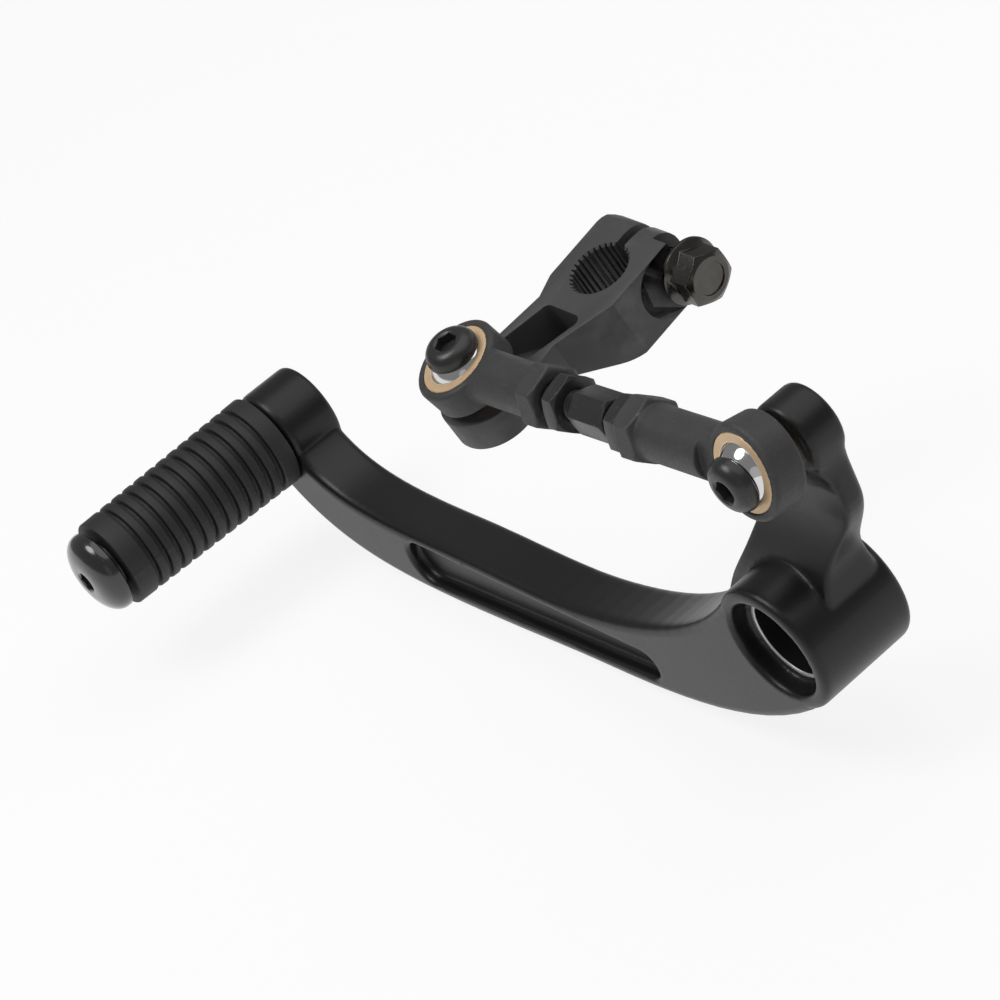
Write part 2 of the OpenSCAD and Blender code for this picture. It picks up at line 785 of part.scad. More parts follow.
// Pocket that is open at the arm's face, with a floor that follows the arm's underside
module pocket() {
    y0 = toe_slope_y - 2.4;
    y1 = shoulder_y - 0.8;
    corners = [[-7.4, y0, 1], [5.2, y0, 1], [7.6, y1, 1], [-3.4, y1, 1]];
    intersection() {
        translate([0, 0, face_z - clamp_t]) linear_extrude(clamp_t + 1) pocket_outline(y0, y1);
        rotate([90, 0, 90]) translate([0, 0, -clamp_half_w * 2]) linear_extrude(clamp_half_w * 4)
            polygon([
                [y0 - 1, face_z + 1],
                [y1 + 1, face_z + 1],
                [y1 + 1, face_z - clamp_t + pocket_floor],
                [shoulder_y + 1.5, face_z - clamp_t + pocket_floor],
                [toe_slope_y, face_z - toe_t + pocket_floor],
                [y0 - 1, face_z - toe_t + pocket_floor]
            ]);
    }
}

// Pocket outline with round corners, a fixed wall inside the arm's sides
module pocket_outline(y0, y1) {
    r = pocket_r;
    left = [-toe_r + pocket_wall, arm_offset - clamp_half_w + 1.8 + pocket_wall];
    right = [toe_r * 0.9 - pocket_wall - 1.2, arm_offset + 7 - pocket_wall + 1.2];
    for (c = [[left[0] + r, y0 + r], [right[0] - r, y0 + r], [right[1] - r, y1 - r], [left[1] + r, y1 - r]])
        translate(c) circle(r = r, $fn = 24);
    polygon([
        [left[0] + r, y0], [right[0] - r, y0], [right[0], y0 + r], [right[1], y1 - r],
        [right[1] - r, y1], [left[1] + r, y1], [left[1], y1 - r], [left[0], y0 + r]
    ]);
}

module shift_arm() {
    color("#2a2b2e") at_arm() difference() {
        union() {
            intersection() {
                translate([0, 0, face_z - clamp_t - 1]) linear_extrude(clamp_t + 1) arm_plan();
                rotate([90, 0, 90]) translate([0, 0, -clamp_half_w * 2])
                    linear_extrude(clamp_half_w * 4) arm_side();
            }
            translate([0, 0, face_z - eps]) cylinder(r = land_r, h = land_h + eps);
        }
        spline_bore();
        pocket();
        translate([arm_offset - slit_w / 2, arm_len, face_z - clamp_t - 1])
            cube([slit_w, clamp_end_y - arm_len + 1, clamp_t + 2]);
        translate([0, arm_len + pinch_y, pinch_z]) {
            along_x(screw_hole_r, arm_offset - clamp_half_w - 1, arm_offset + clamp_half_w + 1);
            along_x(spot_r, spot_face_x, arm_offset + clamp_half_w + 1);
            translate([0, -recess_run, 0])
                along_x(spot_r, recess_run_x, arm_offset + clamp_half_w + 1);
            translate([recess_run_x, -recess_run, -spot_r])
                cube([recess_run_depth + 1, recess_run, spot_r * 2]);
        }
        translate([0, 0, face_z - toe_t - 1]) cylinder(r = screw_hole_r, h = toe_t + land_h + 2);
    }
}

module pinch_bolt() {
    flange_x = spot_face_x + pinch_proud;
    color("#3a3634") at_arm() translate([flange_x, arm_len + pinch_y, pinch_z]) {
        along_x(thread_r, -pinch_len, 1);
        rotate([0, 90, 0]) {
            rotate_extrude()
                polygon([
                    [0, 0],
                    [flange_r - 0.2, 0],
                    [flange_r, 0.3],
                    [flange_r, 0.9],
                    [pinch_af / 2, 2],
                    [0, 2]
                ]);
            translate([0, 0, 1]) difference() {
                hexagon(pinch_af, pinch_hex_h + 0.4, foot = false, inset = 0.7);
                translate([0, 0, pinch_hex_h]) cylinder(r = pinch_af * 0.33, h = 1);
            }
        }
    }
}

lever();
pivot_bush();
peg_pin();
peg_rubber();
peg_screw();
lever_ball_screw();
lever_ball();
lever_race();
lever_rod_end();
lever_lock_nut();
adjuster();
arm_lock_nut();
arm_rod_end();
arm_race();
arm_ball();
arm_ball_screw();
shift_arm();
pinch_bolt();
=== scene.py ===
import json
import math
import bmesh
import bpy
from mathutils import Matrix, Vector


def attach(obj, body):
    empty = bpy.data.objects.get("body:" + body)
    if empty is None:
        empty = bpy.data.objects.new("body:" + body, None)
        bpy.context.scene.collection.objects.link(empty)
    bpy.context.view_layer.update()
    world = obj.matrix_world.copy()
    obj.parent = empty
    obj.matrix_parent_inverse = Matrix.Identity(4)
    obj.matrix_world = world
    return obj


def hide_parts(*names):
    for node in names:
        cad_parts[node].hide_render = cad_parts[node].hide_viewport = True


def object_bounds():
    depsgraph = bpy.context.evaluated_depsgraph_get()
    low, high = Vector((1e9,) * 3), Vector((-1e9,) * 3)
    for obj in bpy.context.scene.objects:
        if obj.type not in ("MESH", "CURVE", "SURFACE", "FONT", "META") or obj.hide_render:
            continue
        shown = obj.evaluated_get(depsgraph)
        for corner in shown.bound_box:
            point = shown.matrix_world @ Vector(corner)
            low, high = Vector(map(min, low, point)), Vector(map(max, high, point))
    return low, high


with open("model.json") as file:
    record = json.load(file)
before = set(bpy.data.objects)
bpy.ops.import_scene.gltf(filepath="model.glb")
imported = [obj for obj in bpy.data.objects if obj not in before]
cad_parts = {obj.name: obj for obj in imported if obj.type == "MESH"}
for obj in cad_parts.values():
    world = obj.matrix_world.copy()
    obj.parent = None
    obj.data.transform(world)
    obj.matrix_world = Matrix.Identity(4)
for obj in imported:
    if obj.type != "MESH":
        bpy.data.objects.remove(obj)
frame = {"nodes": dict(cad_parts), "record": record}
cadBounds = [list(corner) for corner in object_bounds()]
mm = 0.001  # the frame is in metres
print("stage: packed model loaded")


# Camera, fitted to the round forms in the photo
cameraLook = {
    "place": (0.4373, -0.2436, 0.3499),
    "right": (0.5802, 0.7204, -0.3800),
    "up": (-0.2371, 0.5957, 0.7674),
    "lens": 126.0,
    "sensor": 36.0,
    "clipStart": 0.01,
    "clipEnd": 20.0,
}


def addCamera(look):
    data = bpy.data.cameras.new("photoCamera")
    data.lens = look["lens"]
    data.sensor_width = look["sensor"]
    data.sensor_fit = "HORIZONTAL"
    data.clip_start = look["clipStart"]
    data.clip_end = look["clipEnd"]
    camera = bpy.data.objects.new("photoCamera", data)
    bpy.context.scene.collection.objects.link(camera)
    right = Vector(look["right"]).normalized()
    up = Vector(look["up"])
    up = (up - right * up.dot(right)).normalized()
    back = right.cross(up)
    turn = Matrix((right, up, back)).transposed()
    camera.matrix_world = Matrix.Translation(Vector(look["place"])) @ turn.to_4x4()
    bpy.context.scene.camera = camera


addCamera(cameraLook)
print("stage: camera placed")


# Sets a node's slot to a number or colour, or links a socket to it
def feed(tree, slot, value):
    if isinstance(value, Value):
        tree.links.new(value.socket, slot)
    elif isinstance(value, bpy.types.NodeSocket):
        tree.links.new(value, slot)
    else:
        slot.default_value = value


# Shader maths: a socket that takes part in Python expressions
class Value:
    def __init__(self, tree, socket):
        self.tree = tree
        self.socket = socket

    def math(self, operation, *others, clamp=False):
        node = self.tree.nodes.new("ShaderNodeMath")
        node.operation = operation
        node.use_clamp = clamp
        for slot, value in zip(node.inputs, (self,) + others):
            feed(self.tree, slot, value)
        return Value(self.tree, node.outputs[0])

    def __add__(self, other):
        return self.math("ADD", other)

    __radd__ = __add__

    def __mul__(self, other):
        return self.math("MULTIPLY", other)

    __rmul__ = __mul__

    def __sub__(self, other):
        return self.math("SUBTRACT", other)

    def clamped(self):
        return self.math("ADD", 0.0, clamp=True)


# The colour sockets of a mix node, which share their names with the other kinds
colourMixInputs = (0, 6, 7)
colourMixOutput = 2


# A material whose shader is built up from such values
class Finish:
    def __init__(self, name):
        self.material = bpy.data.materials.new(name)
        self.material.use_nodes = True
        self.tree = self.material.node_tree
        self.tree.nodes.clear()
        self.output = self.tree.nodes.new("ShaderNodeOutputMaterial")
        self.shader = self.tree.nodes.new("ShaderNodeBsdfPrincipled")
        self.tree.links.new(self.shader.outputs["BSDF"], self.output.inputs["Surface"])
        self.coords = self.tree.nodes.new("ShaderNodeTexCoord").outputs["Object"]

    def node(self, kind, settings=None, inputs=None, output=0):
        made = self.tree.nodes.new(kind)
        for name, value in (settings or {}).items():
            setattr(made, name, value)
        for name, value in (inputs or {}).items():
            feed(self.tree, made.inputs[name], value)
        return Value(self.tree, made.outputs[output])

    def noise(self, scale, detail, roughness=0.5, vector=None):
        return self.node("ShaderNodeTexNoise", inputs={
            "Vector": vector or self.coords, "Scale": scale, "Detail": detail,
            "Roughness": roughness})

    def cells(self, scale):
        return self.node("ShaderNodeTexVoronoi", {"feature": "F1"}, {
            "Vector": self.coords, "Scale": scale})

    def band(self, value, low, high):
        return self.node("ShaderNodeMapRange", {"clamp": True}, {
            "Value": value, "From Min": low, "From Max": high, "To Min": 0.0, "To Max": 1.0})

    def mix(self, factor, first, second):
        made = self.tree.nodes.new("ShaderNodeMix")
        made.data_type = "RGBA"
        for place, value in zip(colourMixInputs, (factor, first, second)):
            feed(self.tree, made.inputs[place], value)
        return Value(self.tree, made.outputs[colourMixOutput])

    def stretched(self, scale):
        return self.node("ShaderNodeMapping", inputs={"Vector": self.coords, "Scale": scale})

    def axis(self, letter):
        return self.node(
            "ShaderNodeSeparateXYZ", inputs={"Vector": self.coords}, output="XYZ".index(letter))

    def ridges(self, low, high):
        pointiness = self.node("ShaderNodeNewGeometry", output="Pointiness")
        return self.band(pointiness, low, high)

    # Small flecks, kept to the patches where a noise is high
    def flecks(self, scale, look):
        dots = self.band(self.cells(scale), *look["dots"])
        return dots * self.band(self.noise(*look["noise"]), *look["patches"])

    # Painted highlight along the sharper edges, in patches too
    def paintedEdgeHighlight(self, look):
        edges = self.ridges(*look["edges"])
        return edges * self.band(self.noise(*look["noise"]), *look["patches"])

    def bump(self, height, strength, distance):
        return self.node("ShaderNodeBump", inputs={
            "Height": height, "Strength": strength, "Distance": distance})

    def set(self, **values):
        for name, value in values.items():
            feed(self.tree, self.shader.inputs[name.replace("_", " ")], value)
        return self.material

    def coat(self, base, rough, height, look, **values):
        return self.set(
            Base_Color=base, Roughness=rough.clamped(),
            Normal=self.bump(height, *look["bump"]), **values)


def grey(level, warmth=0.0):
    return (level * (1.0 + warmth), level, level * (1.0 - warmth), 1.0)


# Black satin coat: what the lever and the shift arm share, then what each has of its own
# A noise is scale, detail and roughness, a bump is strength and depth, a swing moves roughness
satinLook = {
    "cloud": (38.0, 4.0, 0.55), "cloudSwing": 0.10,
    "grainDetail": (2.0, 0.6), "grainSwing": 0.12, "peelDetail": (2.0, 0.5),
    "flecks": {"dots": (0.10, 0.04), "noise": (90.0, 2.0), "patches": (0.58, 0.66)},
    # The edge band paints a highlight along the sharper edges; the pale colour serves the chips and
    # this painted highlight
    "edgeHighlight": {"edges": (0.515, 0.565), "noise": (210.0, 3.0, 0.6), "patches": (0.44, 0.66)},
    "fleckShare": 0.25, "edgeHighlightSwing": 0.27, "bare": grey(0.15, 0.03),
    "peelShare": 0.6, "grainShare": 0.4, "bump": (0.20, 0.00012),
}
# How much painted edge highlight each coat has: none on the lever, some on the shift arm
castLook = {
    **satinLook, "shade": 0.0045, "paler": 0.010, "rough": 0.37, "index": 1.42, "edgeHighlightAmount": 0.0,
    "grain": 2600.0, "orangePeel": 460.0, "chips": 2200.0,
}
armCoatLook = {
    **satinLook, "shade": 0.044, "paler": 0.064, "rough": 0.52, "index": 1.48, "edgeHighlightAmount": 0.30,
    "grain": 2300.0, "orangePeel": 620.0, "chips": 1700.0,
}


def satinCoat(name, look):
    finish = Finish(name)
    cloud = finish.noise(*look["cloud"])
    grain = finish.noise(look["grain"], *look["grainDetail"])
    peel = finish.noise(look["orangePeel"], *look["peelDetail"])
    flecks = finish.flecks(look["chips"], look["flecks"])
    # Painted highlight along the sharper edges, paler and less rough
    edgeHighlight = finish.paintedEdgeHighlight(look["edgeHighlight"]) * look["edgeHighlightAmount"]
    base = finish.mix(cloud, grey(look["shade"]), grey(look["paler"]))
    base = finish.mix(flecks * look["fleckShare"] + edgeHighlight, base, look["bare"])
    rough = (
        look["rough"] + (cloud - 0.5) * look["cloudSwing"] + (grain - 0.5) * look["grainSwing"]
        - edgeHighlight * look["edgeHighlightSwing"])
    height = peel * look["peelShare"] + grain * look["grainShare"]
    return finish.coat(base, rough, height, look, IOR=look["index"])


# Rougher black coat on the forged rod ends, with a painted highlight along the edges and drawn
# scratches
forgedLook = {
    "shade": 0.030, "paler": 0.060, "rough": 0.54, "index": 1.42, "bare": grey(0.17, 0.02),
    "cloud": (140.0, 5.0, 0.6), "pits": 620.0, "scale": (1700.0, 4.0, 0.65),
    # The edge band paints a highlight along the sharper edges; the pale colour serves it and the
    # drawn scratches
    "edgeHighlight": {"edges": (0.51, 0.56), "noise": (330.0, 3.0, 0.6), "patches": (0.45, 0.66)},
    "scratches": (1.0, 4.0, 0.6), "scratchStretch": (160.0, 1500.0, 1500.0),
    "scratchPatches": (0.60, 0.72), "edgeHighlightShare": 0.4, "scratchShare": 0.12,
    "scaleSwing": 0.30, "edgeHighlightSwing": 0.10, "scaleShare": 0.55, "pitShare": 0.45,
    "bump": (0.50, 0.00020),
}


def forgedCoat(look):
    finish = Finish("forgedCoat")
    cloud = finish.noise(*look["cloud"])
    pits = finish.cells(look["pits"])
    scale = finish.noise(*look["scale"])
    # Painted highlight along the sharper edges
    edgeHighlight = finish.paintedEdgeHighlight(look["edgeHighlight"])
    scratches = finish.noise(*look["scratches"], finish.stretched(look["scratchStretch"]))
    scratches = finish.band(scratches, *look["scratchPatches"])
    base = finish.mix(cloud, grey(look["shade"]), grey(look["paler"]))
    # Pale colour from the painted edge highlight and the drawn scratches
    worn = edgeHighlight * look["edgeHighlightShare"] + scratches * look["scratchShare"]
    base = finish.mix(worn, base, look["bare"])
    rough = look["rough"] + (scale - 0.5) * look["scaleSwing"] - edgeHighlight * look["edgeHighlightSwing"]
    height = scale * look["scaleShare"] + pits * look["pitShare"]
    return finish.coat(base, rough, height, look, IOR=look["index"])


# Black oxide on screws, nuts and the adjuster
oxideLook = {
    "fresh": grey(0.034, 0.02), "worn": grey(0.14, 0.04), "rough": 0.32, "metal": 0.35,
    "cloud": (240.0, 4.0, 0.6), "cloudSwing": 0.22, "scuffs": (700.0, 3.0, 0.7),
    "scuffPatches": (0.60, 0.78), "scuffShare": 0.5, "grain": (2400.0, 3.0, 0.6),
    "bump": (0.12, 0.0001),
}


def blackOxide(look):
    finish = Finish("blackOxide")
    cloud = finish.noise(*look["cloud"])
    scuffs = finish.band(finish.noise(*look["scuffs"]), *look["scuffPatches"])
    base = finish.mix(scuffs * look["scuffShare"], look["fresh"], look["worn"])
    rough = look["rough"] + (cloud - 0.5) * look["cloudSwing"]
    height = finish.noise(*look["grain"])
    return finish.coat(base, rough, height, look, Metallic=look["metal"])


# Gloss black on the domed peg screw, with smears, dents and dust
glossLook = {
    "fresh": grey(0.012), "dusty": grey(0.30), "rough": 0.20, "index": 1.55,
    "clearCoat": 0.5, "clearRough": 0.10, "smears": (160.0, 4.0, 0.6), "smearSwing": 0.20,
    "dust": {"dots": (0.16, 0.05), "noise": (220.0, 2.0), "patches": (0.56, 0.66)},
    "dustScale": 1500.0, "dustShare": 0.6, "dustSwing": 0.3, "dents": (760.0, 3.0, 0.7),
    "smearShare": 0.4, "dentShare": 0.6, "bump": (0.30, 0.0002),
}


def glossBlack(look):
    finish = Finish("glossBlack")
    smears = finish.noise(*look["smears"])
    dust = finish.flecks(look["dustScale"], look["dust"])
    dents = finish.noise(*look["dents"])
    base = finish.mix(dust * look["dustShare"], look["fresh"], look["dusty"])
    rough = look["rough"] + (smears - 0.5) * look["smearSwing"] + dust * look["dustSwing"]
    height = smears * look["smearShare"] + dents * look["dentShare"]
    return finish.coat(
        base, rough, height, look, IOR=look["index"], Coat_Weight=look["clearCoat"],
        Coat_Roughness=look["clearRough"])


# Dark nickel on the pinch bolt
nickelLook = {
    "dark": grey(0.050, 0.07), "pale": grey(0.11, 0.06), "rough": 0.20, "metal": 1.0,
    "cloud": (300.0, 4.0, 0.6), "grain": (1800.0, 3.0, 0.6), "grainSwing": 0.20,
    "bump": (0.10, 0.0001),
}


def darkNickel(look):
    finish = Finish("darkNickel")
    cloud = finish.noise(*look["cloud"])
    grain = finish.noise(*look["grain"])
    base = finish.mix(cloud, look["dark"], look["pale"])
    rough = look["rough"] + (grain - 0.5) * look["grainSwing"]
    return finish.coat(base, rough, grain, look, Metallic=look["metal"])


# Pivot bush: bright turned end faces, and a bore in painted shade, nearly black, inside the hole
bushLook = {
    "bright": grey(0.60, 0.01), "bore": grey(0.012), "boreShadePaler": grey(0.012 * 1.8),
    "rough": 0.30, "metal": 0.3, "rimMetal": 0.6, "rimSwing": 0.18, "ringSwing": 0.06,
    "rings": (1.0, 2.0, 0.5), "ringStretch": (60.0, 2200.0, 60.0), "cloud": (120.0, 3.0, 0.5),
    "rim": (6.66, 6.78), "bump": (0.02, 0.00002),
}


def bushFinish(look):
    finish = Finish("turnedBush")
    rings = finish.noise(*look["rings"], finish.stretched(look["ringStretch"]))
    cloud = finish.noise(*look["cloud"])
    along = finish.axis("Y").math("ABSOLUTE") * (1.0 / mm)
    rim = finish.band(along, *look["rim"])
    # The nearly black bore is painted shade inside the hole
    base = finish.mix(cloud, look["bore"], look["boreShadePaler"])
    base = finish.mix(rim, base, look["bright"])
    rough = look["rough"] + (rings - 0.5) * look["ringSwing"] + rim * look["rimSwing"]
    return finish.coat(
        base, rough, rings, look, Metallic=look["metal"] + rim * look["rimMetal"])


# Polished balls, with smears and fine turning lines
chromeLook = {
    "shade": grey(0.70), "smeared": grey(0.70 * 0.86), "rough": 0.07, "metal": 1.0,
    "smears": (180.0, 4.0, 0.6), "smearPatches": (0.5, 0.8), "smearSwing": 0.10,
    "hair": (1.0, 2.0, 0.6), "hairStretch": (900.0, 900.0, 120.0), "hairSwing": 0.03,
    "bump": (0.04, 0.00005),
}


def polishedBall(look):
    finish = Finish("polishedBall")
    smears = finish.noise(*look["smears"])
    hair = finish.noise(*look["hair"], finish.stretched(look["hairStretch"]))
    base = finish.mix(smears, look["smeared"], look["shade"])
    dulled = finish.band(smears, *look["smearPatches"])
    rough = look["rough"] + dulled * look["smearSwing"] + hair * look["hairSwing"]
    return finish.coat(base, rough, hair, look, Metallic=look["metal"])


# Plain bronze of the races, brighter on the lip that the ball rubs
bronzeLook = {
    "fresh": (0.82, 0.60, 0.37, 1.0),
    "dull": (0.66, 0.45, 0.26, 1.0),
    "lip": (0.92, 0.80, 0.64, 1.0),
    "rough": 0.42, "metal": 0.25, "cloud": (260.0, 4.0, 0.6), "grain": (1700.0, 3.0, 0.6),
    "grainSwing": 0.22, "lipSwing": 0.20, "bump": (0.2, 0.0001),
}


def plainBronze(look):
    finish = Finish("plainBronze")
    cloud = finish.noise(*look["cloud"])
    grain = finish.noise(*look["grain"])
    lip = finish.node("ShaderNodeAttribute", {"attribute_name": "lip"}, output="Fac")
    base = finish.mix(cloud, look["dull"], look["fresh"])
    base = finish.mix(lip, base, look["lip"])
    rough = look["rough"] + (grain - 0.5) * look["grainSwing"] - lip * look["lipSwing"]
    return finish.coat(base, rough, grain, look, Metallic=look["metal"])


# Matt moulded rubber
rubberLook = {
    "shade": grey(0.008), "bloomed": grey(0.022), "rough": 0.60, "index": 1.5,
    "bloom": (70.0, 5.0, 0.6), "grain": (1500.0, 4.0, 0.7), "grainSwing": 0.24,
    "bump": (0.3, 0.00015),
}


def mouldedRubber(look):
    finish = Finish("mouldedRubber")
    bloom = finish.noise(*look["bloom"])
    grain = finish.noise(*look["grain"])
    base = finish.mix(bloom, look["shade"], look["bloomed"])
    rough = look["rough"] + (grain - 0.5) * look["grainSwing"]
    return finish.coat(base, rough, grain, look, IOR=look["index"])


finishes = {
    "black_cast": satinCoat("satinCoat", castLook),
    "black_forged": forgedCoat(forgedLook),
    "black_oxide": blackOxide(oxideLook),
    "gloss_black": glossBlack(glossLook),
    "dark_nickel": darkNickel(nickelLook),
    "steel": bushFinish(bushLook),
    "chrome": polishedBall(chromeLook),
    "bronze": plainBronze(bronzeLook),
    "rubber": mouldedRubber(rubberLook),
}
print("stage: finishes made")


# Where the linkage stands, in millimetres and degrees, as in the CAD source
linkage = {
    "ballPlace": (12.7, -5.7, 41.5), "pegPlace": (-164.5, -11.0, 0.0),
    "tieLength": 88.2, "tieRise": 2.7, "tieTurn": -0.9,
    "leverRoll": -11.5, "armRoll": -70.0, "armLean": 12.0, "armTip": 4.0,
}


def turned(degrees, axis):
    return Matrix.Rotation(math.radians(degrees), 4, axis)


def moved(x, y, z):
    return Matrix.Translation(Vector((x, y, z)) * mm)


outward = turned(90.0, "X")  # turns a piece's own Z towards -Y
sideways = turned(90.0, "Y")  # turns a piece's own Z towards +X
pegPlace = moved(*linkage["pegPlace"]) @ outward
leverBallPlace = moved(*linkage["ballPlace"]) @ outward
tieRodPlace = (
    moved(*linkage["ballPlace"]) @ turned(linkage["tieTurn"], "Z")
    @ turned(-linkage["tieRise"], "Y") @ moved(-linkage["tieLength"], 0.0, 0.0))
leverEndPlace = (
    tieRodPlace @ moved(linkage["tieLength"], 0.0, 0.0)
    @ turned(linkage["leverRoll"] + 90.0, "X"))
armEndPlace = tieRodPlace @ turned(linkage["armRoll"] + 90.0, "X")
shiftArmPlace = (
    Matrix.Translation(tieRodPlace.translation) @ turned(linkage["armTip"], "Y")
    @ turned(linkage["armLean"], "X"))


def bodyOf(node):
    for body, members in frame["record"]["behaviour"]["bodies"].items():
        if node in members:
            return body


def slotOf(node):
    for part in frame["record"]["subparts"]:
        if part["node"] == node:
            return part["material_slot"]


def meshFrom(shape, name):
    mesh = bpy.data.meshes.new(name)
    shape.to_mesh(mesh)
    shape.free()
    return mesh


# Puts a shape in the scene as the piece for one CAD node, smooth but for creases, in degrees
def finishPiece(name, shape, node, crease, material=None):
    for edge in shape.edges:
        edge.smooth = len(edge.link_faces) == 2 and edge.calc_face_angle(0.0) < math.radians(crease)
    for face in shape.faces:
        face.smooth = True
    mesh = meshFrom(shape, name)
    piece = bpy.data.objects.new(name, mesh)
    bpy.context.scene.collection.objects.link(piece)
    mesh.materials.append(material or finishes[slotOf(node)])
    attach(piece, bodyOf(node))
    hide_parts(node)
    return piece


# From here on lengths are in millimetres and angles in degrees, in every look
# Weld distances, and the angle within which neighbouring faces count as one plane
meshing = {"weld": 0.002, "threadWeld": 0.004, "plane": 0.5}


def weldedCopy(node):
    shape = bmesh.new()
    shape.from_mesh(frame["nodes"][node].data)
    bmesh.ops.remove_doubles(shape, verts=shape.verts, dist=meshing["weld"] * mm)
    return shape


def smoothed(shape, verts, passes):
    for turn in range(passes):
        bmesh.ops.smooth_vert(
            shape, verts=verts, factor=0.5, use_axis_x=True, use_axis_y=True, use_axis_z=True)


# A casting or forging: the CAD form with an even fine skin, its edges worn round
def softCasting(name, node, look):
    mesh = meshFrom(weldedCopy(node), name)
    raw = bpy.data.objects.new(name + "Raw", mesh)
    bpy.context.scene.collection.objects.link(raw)
    skin = raw.modifiers.new("evenSkin", "REMESH")
    skin.mode = "VOXEL"
    skin.voxel_size = look["skin"] * mm
    skin.adaptivity = 0.0
    seen = raw.evaluated_get(bpy.context.evaluated_depsgraph_get())
    shape = bmesh.new()
    shape.from_mesh(seen.to_mesh())
    seen.to_mesh_clear()
    bpy.data.objects.remove(raw)
    bpy.data.meshes.remove(mesh)
    smoothed(shape, shape.verts, look["passes"])
    for spot in look["softSpots"]:
        centre = Vector(spot["place"]) * mm
        near = [vert for vert in shape.verts if (vert.co - centre).length < spot["reach"] * mm]
        smoothed(shape, near, spot["passes"])
    piece = finishPiece(name, shape, node, look["crease"])
    print("stage:", name, len(piece.data.polygons), "faces")


# A machined part: the CAD form with its planes made whole and its edges broken, but for crisp ones
def machinedCopy(node, look, crisp=None):
    shape = weldedCopy(node)
    bmesh.ops.dissolve_limit(
        shape, angle_limit=math.radians(meshing["plane"]), use_dissolve_boundaries=False,
        verts=shape.verts, edges=shape.edges, delimit=set())
    rims = [
        edge for edge in shape.edges
        if len(edge.link_faces) == 2 and edge.calc_face_angle(0.0) > math.radians(look["sharp"])
        and not (crisp and crisp(edge))]
    bmesh.ops.bevel(
        shape, geom=rims, offset=look["edge"] * mm, offset_type="OFFSET",
        segments=look["segments"], profile=0.5, affect="EDGES", material=-1,
        clamp_overlap=look.get("clamped", True))
    return shape


# A turned part: a closed outline of radius and height, in millimetres, spun about its own Z
def turnedShape(outline, steps, place):
    shape = bmesh.new()
    corners = [shape.verts.new((radius * mm, 0.0, height * mm)) for radius, height in outline]
    for first, second in zip(corners, corners[1:] + corners[:1]):
        shape.edges.new((first, second))
    bmesh.ops.spin(
        shape, geom=shape.verts[:] + shape.edges[:], cent=(0.0, 0.0, 0.0), axis=(0.0, 0.0, 1.0),
        dvec=(0.0, 0.0, 0.0), angle=math.tau, steps=steps, use_merge=True, use_duplicate=False)
    bmesh.ops.remove_doubles(shape, verts=shape.verts, dist=meshing["weld"] * mm)
    bmesh.ops.recalc_face_normals(shape, faces=shape.faces)
    bmesh.ops.transform(shape, matrix=place, verts=shape.verts)
    return shape


def arc(centre, radius, start, stop, count):
    angles = [math.radians(start + (stop - start) * step / count) for step in range(count + 1)]
    return [
        (centre[0] + radius * math.cos(angle), centre[1] + radius * math.sin(angle))
        for angle in angles]


# Thread of a 6 mm screw, with the ends of its flanks as shares of the pitch
threadLook = {
    "radius": 2.98, "depth": 0.5, "pitch": 1.0, "steps": 40, "flanks": (0.12, 0.46, 0.58, 0.92),
}


# Adds a thread about its own Z to a shape, between two heights
def addThread(shape, look, start, stop, place):
    thread = bmesh.new()
    crest, root, pitch = look["radius"], look["radius"] - look["depth"], look["pitch"]
    rise, top, fall, foot = look["flanks"]
    outline = [(root, 0.0), (root, rise), (crest, top), (crest, fall), (root, foot), (root, 1.0)]
    corners = [
        thread.verts.new((radius * mm, 0.0, (start + share * pitch) * mm))
        for radius, share in outline]
    for first, second in zip(corners, corners[1:]):
        thread.edges.new((first, second))
    rounds = max(1, int((stop - start) / pitch) - 1)
    bmesh.ops.spin(
        thread, geom=thread.verts[:] + thread.edges[:], cent=(0.0, 0.0, 0.0), axis=(0.0, 0.0, 1.0),
        dvec=(0.0, 0.0, pitch * mm / look["steps"]), angle=math.tau * rounds,
        steps=look["steps"] * rounds, use_merge=False, use_duplicate=False)
    bmesh.ops.remove_doubles(thread, verts=thread.verts, dist=meshing["threadWeld"] * mm)
    bmesh.ops.holes_fill(thread, edges=thread.edges, sides=0)
    bmesh.ops.recalc_face_normals(thread, faces=thread.faces)
    bmesh.ops.transform(thread, matrix=place, verts=thread.verts)
    part = meshFrom(thread, "threadPart")
    shape.from_mesh(part)
    bpy.data.meshes.remove(part)


# Lever casting, with the bow, the groove, the upright and the three bosses
leverLook = {
    "skin": 0.44, "passes": 2, "crease": 75.0,
    "softSpots": (
        {"place": (16.0, 0.8, 34.0), "reach": 4.2, "passes": 36},
        {"place": (11.0, 0.8, 33.6), "reach": 4.2, "passes": 30},
    ),
}
softCasting("leverCasting", "lever", leverLook)

# Rod ends, forgings with a finer skin
rodEndLook = {"skin": 0.24, "passes": 2, "crease": 75.0, "softSpots": ()}
softCasting("leverRodEnd", "lever_rod_end", rodEndLook)
softCasting("armRodEnd", "arm_rod_end", rodEndLook)

# Shift arm, a matt forging whose spline teeth and bolt recess stay crisp
shiftArmLook = {
    "sharp": 40.0, "edge": 0.32, "segments": 2, "clamped": False, "crease": 24.0,
    "splinePlace": (2.8, 32.0), "splineReach": 8.4,
    "recess": {"side": 8.0, "low": 37.7, "high": 41.7, "depth": -13.05, "reach": 7.9},
}


